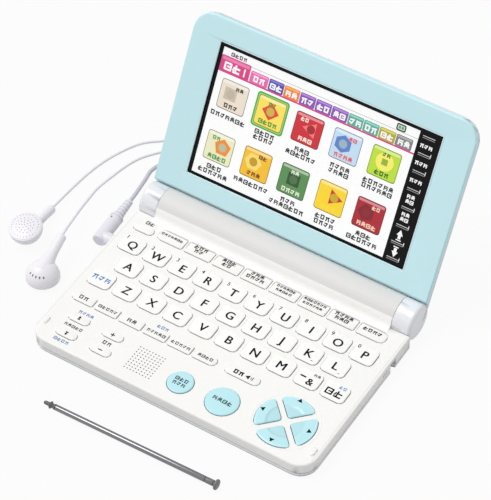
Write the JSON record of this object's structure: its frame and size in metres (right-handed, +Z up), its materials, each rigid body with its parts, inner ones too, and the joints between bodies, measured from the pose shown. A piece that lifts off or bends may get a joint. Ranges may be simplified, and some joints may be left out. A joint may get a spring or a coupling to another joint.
{
  "type": "electronic dictionary",
  "caption": "Pocket electronic dictionary: clamshell with a keyboard deck, a hinged touch screen lid over a battery barrel, a stylus and plugged-in earphones.",
  "frame": {"origin": "middle of the base's flat underside, on the surface it rests on", "axes": "+X to the user's right, +Y from the front edge back to the hinge, +Z up out of the keyboard"},
  "size_m": [0.1938, 0.1892, 0.0926],
  "materials": {
    "warm_white_plastic": "satin",
    "cool_white_plastic": "gloss",
    "light_blue_plastic": "satin",
    "key_white_plastic": "satin",
    "key_rubber": "matte",
    "screen_panel": "gloss",
    "circuit_board": "satin",
    "dark_plastic": "matte",
    "battery_sleeve": "satin",
    "steel": "brushed",
    "chrome_tube": "polished",
    "grey_plastic": "satin",
    "earphone_plastic": "satin",
    "cord_rubber": "satin"
  },
  "bodies": {
    "base": {"keyboard_deck": "warm_white_plastic", "bottom_case": "cool_white_plastic", "battery_left": "battery_sleeve", "battery_right": "battery_sleeve", "main_board": "circuit_board", "speaker": "dark_plastic", "earphone_plug": "earphone_plastic", "earphone_lead": "cord_rubber", "earphone_coil": "cord_rubber", "earphone_splitter": "earphone_plastic", "earphone_branch_left": "cord_rubber", "earphone_branch_right": "cord_rubber", "earbud_left": "earphone_plastic", "earbud_right": "earphone_plastic"},
    "lid": {"lid_cover": "cool_white_plastic", "lid_bezel": "light_blue_plastic", "display_module": "screen_panel", "hinge_pin_left": "steel", "hinge_pin_right": "steel"},
    "battery_door": {"battery_cover": "cool_white_plastic"},
    "stylus": {"stylus_tube": "chrome_tube", "stylus_tip": "grey_plastic", "stylus_cap": "grey_plastic"},
    "key_q": {"key_q": "key_white_plastic"},
    "key_w": {"key_w": "key_white_plastic"},
    "key_e": {"key_e": "key_white_plastic"},
    "key_r": {"key_r": "key_white_plastic"},
    "key_t": {"key_t": "key_white_plastic"},
    "key_y": {"key_y": "key_white_plastic"},
    "key_u": {"key_u": "key_white_plastic"},
    "key_i": {"key_i": "key_white_plastic"},
    "key_o": {"key_o": "key_white_plastic"},
    "key_p": {"key_p": "key_white_plastic"},
    "key_a": {"key_a": "key_white_plastic"},
    "key_s": {"key_s": "key_white_plastic"},
    "key_d": {"key_d": "key_white_plastic"},
    "key_f": {"key_f": "key_white_plastic"},
    "key_g": {"key_g": "key_white_plastic"},
    "key_h": {"key_h": "key_white_plastic"},
    "key_j": {"key_j": "key_white_plastic"},
    "key_k": {"key_k": "key_white_plastic"},
    "key_l": {"key_l": "key_white_plastic"},
    "key_shift": {"key_shift": "key_white_plastic"},
    "key_z": {"key_z": "key_white_plastic"},
    "key_x": {"key_x": "key_white_plastic"},
    "key_c": {"key_c": "key_white_plastic"},
    "key_v": {"key_v": "key_white_plastic"},
    "key_b": {"key_b": "key_white_plastic"},
    "key_n": {"key_n": "key_white_plastic"},
    "key_m": {"key_m": "key_white_plastic"},
    "key_minus": {"key_minus": "key_white_plastic"},
    "key_delete": {"key_delete": "key_white_plastic"},
    "key_enter": {"key_enter": "light_blue_plastic"},
    "key_back": {"key_back": "light_blue_plastic"},
    "key_right": {"key_right": "light_blue_plastic"},
    "key_up": {"key_up": "light_blue_plastic"},
    "key_left": {"key_left": "light_blue_plastic"},
    "key_down": {"key_down": "light_blue_plastic"},
    "upper_key_mat": {"upper_key_mat": "key_rubber"},
    "lower_key_mat": {"lower_key_mat": "key_rubber"}
  },
  "joints": [
    {"name": "lid_hinge", "type": "hinge", "parent": "base", "child": "lid", "pos_m": [0, 0.04395, 0.0089], "axis": [1, 0, 0], "range_deg": [-30, 119.4]},
    {"name": "battery_cover_slide", "type": "slide", "parent": "base", "child": "battery_door", "axis": [0, 1, 0], "range_m": [0, 0.008]},
    {"name": "stylus_lift", "type": "slide", "parent": "base", "child": "stylus", "axis": [0, 0, 1], "range_m": [0, 0.03]},
    {"name": "key_q_press", "type": "slide", "parent": "base", "child": "key_q", "axis": [0, 0, -1], "range_m": [0, 0.0006], "stiffness_N_per_m": 250, "springref_m": -0.0006},
    {"name": "key_w_press", "type": "slide", "parent": "base", "child": "key_w", "axis": [0, 0, -1], "range_m": [0, 0.0006], "stiffness_N_per_m": 250, "springref_m": -0.0006},
    {"name": "key_e_press", "type": "slide", "parent": "base", "child": "key_e", "axis": [0, 0, -1], "range_m": [0, 0.0006], "stiffness_N_per_m": 250, "springref_m": -0.0006},
    {"name": "key_r_press", "type": "slide", "parent": "base", "child": "key_r", "axis": [0, 0, -1], "range_m": [0, 0.0006], "stiffness_N_per_m": 250, "springref_m": -0.0006},
    {"name": "key_t_press", "type": "slide", "parent": "base", "child": "key_t", "axis": [0, 0, -1], "range_m": [0, 0.0006], "stiffness_N_per_m": 250, "springref_m": -0.0006},
    {"name": "key_y_press", "type": "slide", "parent": "base", "child": "key_y", "axis": [0, 0, -1], "range_m": [0, 0.0006], "stiffness_N_per_m": 250, "springref_m": -0.0006},
    {"name": "key_u_press", "type": "slide", "parent": "base", "child": "key_u", "axis": [0, 0, -1], "range_m": [0, 0.0006], "stiffness_N_per_m": 250, "springref_m": -0.0006},
    {"name": "key_i_press", "type": "slide", "parent": "base", "child": "key_i", "axis": [0, 0, -1], "range_m": [0, 0.0006], "stiffness_N_per_m": 250, "springref_m": -0.0006},
    {"name": "key_o_press", "type": "slide", "parent": "base", "child": "key_o", "axis": [0, 0, -1], "range_m": [0, 0.0006], "stiffness_N_per_m": 250, "springref_m": -0.0006},
    {"name": "key_p_press", "type": "slide", "parent": "base", "child": "key_p", "axis": [0, 0, -1], "range_m": [0, 0.0006], "stiffness_N_per_m": 250, "springref_m": -0.0006},
    {"name": "key_a_press", "type": "slide", "parent": "base", "child": "key_a", "axis": [0, 0, -1], "range_m": [0, 0.0006], "stiffness_N_per_m": 250, "springref_m": -0.0006},
    {"name": "key_s_press", "type": "slide", "parent": "base", "child": "key_s", "axis": [0, 0, -1], "range_m": [0, 0.0006], "stiffness_N_per_m": 250, "springref_m": -0.0006},
    {"name": "key_d_press", "type": "slide", "parent": "base", "child": "key_d", "axis": [0, 0, -1], "range_m": [0, 0.0006], "stiffness_N_per_m": 250, "springref_m": -0.0006},
    {"name": "key_f_press", "type": "slide", "parent": "base", "child": "key_f", "axis": [0, 0, -1], "range_m": [0, 0.0006], "stiffness_N_per_m": 250, "springref_m": -0.0006},
    {"name": "key_g_press", "type": "slide", "parent": "base", "child": "key_g", "axis": [0, 0, -1], "range_m": [0, 0.0006], "stiffness_N_per_m": 250, "springref_m": -0.0006},
    {"name": "key_h_press", "type": "slide", "parent": "base", "child": "key_h", "axis": [0, 0, -1], "range_m": [0, 0.0006], "stiffness_N_per_m": 250, "springref_m": -0.0006},
    {"name": "key_j_press", "type": "slide", "parent": "base", "child": "key_j", "axis": [0, 0, -1], "range_m": [0, 0.0006], "stiffness_N_per_m": 250, "springref_m": -0.0006},
    {"name": "key_k_press", "type": "slide", "parent": "base", "child": "key_k", "axis": [0, 0, -1], "range_m": [0, 0.0006], "stiffness_N_per_m": 250, "springref_m": -0.0006},
    {"name": "key_l_press", "type": "slide", "parent": "base", "child": "key_l", "axis": [0, 0, -1], "range_m": [0, 0.0006], "stiffness_N_per_m": 250, "springref_m": -0.0006},
    {"name": "key_shift_press", "type": "slide", "parent": "base", "child": "key_shift", "axis": [0, 0, -1], "range_m": [0, 0.0006], "stiffness_N_per_m": 250, "springref_m": -0.0006},
    {"name": "key_z_press", "type": "slide", "parent": "base", "child": "key_z", "axis": [0, 0, -1], "range_m": [0, 0.0006], "stiffness_N_per_m": 250, "springref_m": -0.0006},
    {"name": "key_x_press", "type": "slide", "parent": "base", "child": "key_x", "axis": [0, 0, -1], "range_m": [0, 0.0006], "stiffness_N_per_m": 250, "springref_m": -0.0006},
    {"name": "key_c_press", "type": "slide", "parent": "base", "child": "key_c", "axis": [0, 0, -1], "range_m": [0, 0.0006], "stiffness_N_per_m": 250, "springref_m": -0.0006},
    {"name": "key_v_press", "type": "slide", "parent": "base", "child": "key_v", "axis": [0, 0, -1], "range_m": [0, 0.0006], "stiffness_N_per_m": 250, "springref_m": -0.0006},
    {"name": "key_b_press", "type": "slide", "parent": "base", "child": "key_b", "axis": [0, 0, -1], "range_m": [0, 0.0006], "stiffness_N_per_m": 250, "springref_m": -0.0006},
    {"name": "key_n_press", "type": "slide", "parent": "base", "child": "key_n", "axis": [0, 0, -1], "range_m": [0, 0.0006], "stiffness_N_per_m": 250, "springref_m": -0.0006},
    {"name": "key_m_press", "type": "slide", "parent": "base", "child": "key_m", "axis": [0, 0, -1], "range_m": [0, 0.0006], "stiffness_N_per_m": 250, "springref_m": -0.0006},
    {"name": "key_minus_press", "type": "slide", "parent": "base", "child": "key_minus", "axis": [0, 0, -1], "range_m": [0, 0.0006], "stiffness_N_per_m": 250, "springref_m": -0.0006},
    {"name": "key_delete_press", "type": "slide", "parent": "base", "child": "key_delete", "axis": [0, 0, -1], "range_m": [0, 0.0006], "stiffness_N_per_m": 250, "springref_m": -0.0006},
    {"name": "key_enter_press", "type": "slide", "parent": "base", "child": "key_enter", "axis": [0, 0, -1], "range_m": [0, 0.0006], "stiffness_N_per_m": 250, "springref_m": -0.0006},
    {"name": "key_back_press", "type": "slide", "parent": "base", "child": "key_back", "axis": [0, 0, -1], "range_m": [0, 0.0006], "stiffness_N_per_m": 250, "springref_m": -0.0006},
    {"name": "key_right_press", "type": "slide", "parent": "base", "child": "key_right", "axis": [0, 0, -1], "range_m": [0, 0.0006], "stiffness_N_per_m": 250, "springref_m": -0.0006},
    {"name": "key_up_press", "type": "slide", "parent": "base", "child": "key_up", "axis": [0, 0, -1], "range_m": [0, 0.0006], "stiffness_N_per_m": 250, "springref_m": -0.0006},
    {"name": "key_left_press", "type": "slide", "parent": "base", "child": "key_left", "axis": [0, 0, -1], "range_m": [0, 0.0006], "stiffness_N_per_m": 250, "springref_m": -0.0006},
    {"name": "key_down_press", "type": "slide", "parent": "base", "child": "key_down", "axis": [0, 0, -1], "range_m": [0, 0.0006], "stiffness_N_per_m": 250, "springref_m": -0.0006},
    {"name": "upper_key_mat_press", "type": "slide", "parent": "base", "child": "upper_key_mat", "axis": [0, 0, -1], "range_m": [0, 0.0006], "stiffness_N_per_m": 500, "springref_m": -0.0006},
    {"name": "lower_key_mat_press", "type": "slide", "parent": "base", "child": "lower_key_mat", "axis": [0, 0, -1], "range_m": [0, 0.0006], "stiffness_N_per_m": 500, "springref_m": -0.0006}
  ]
}
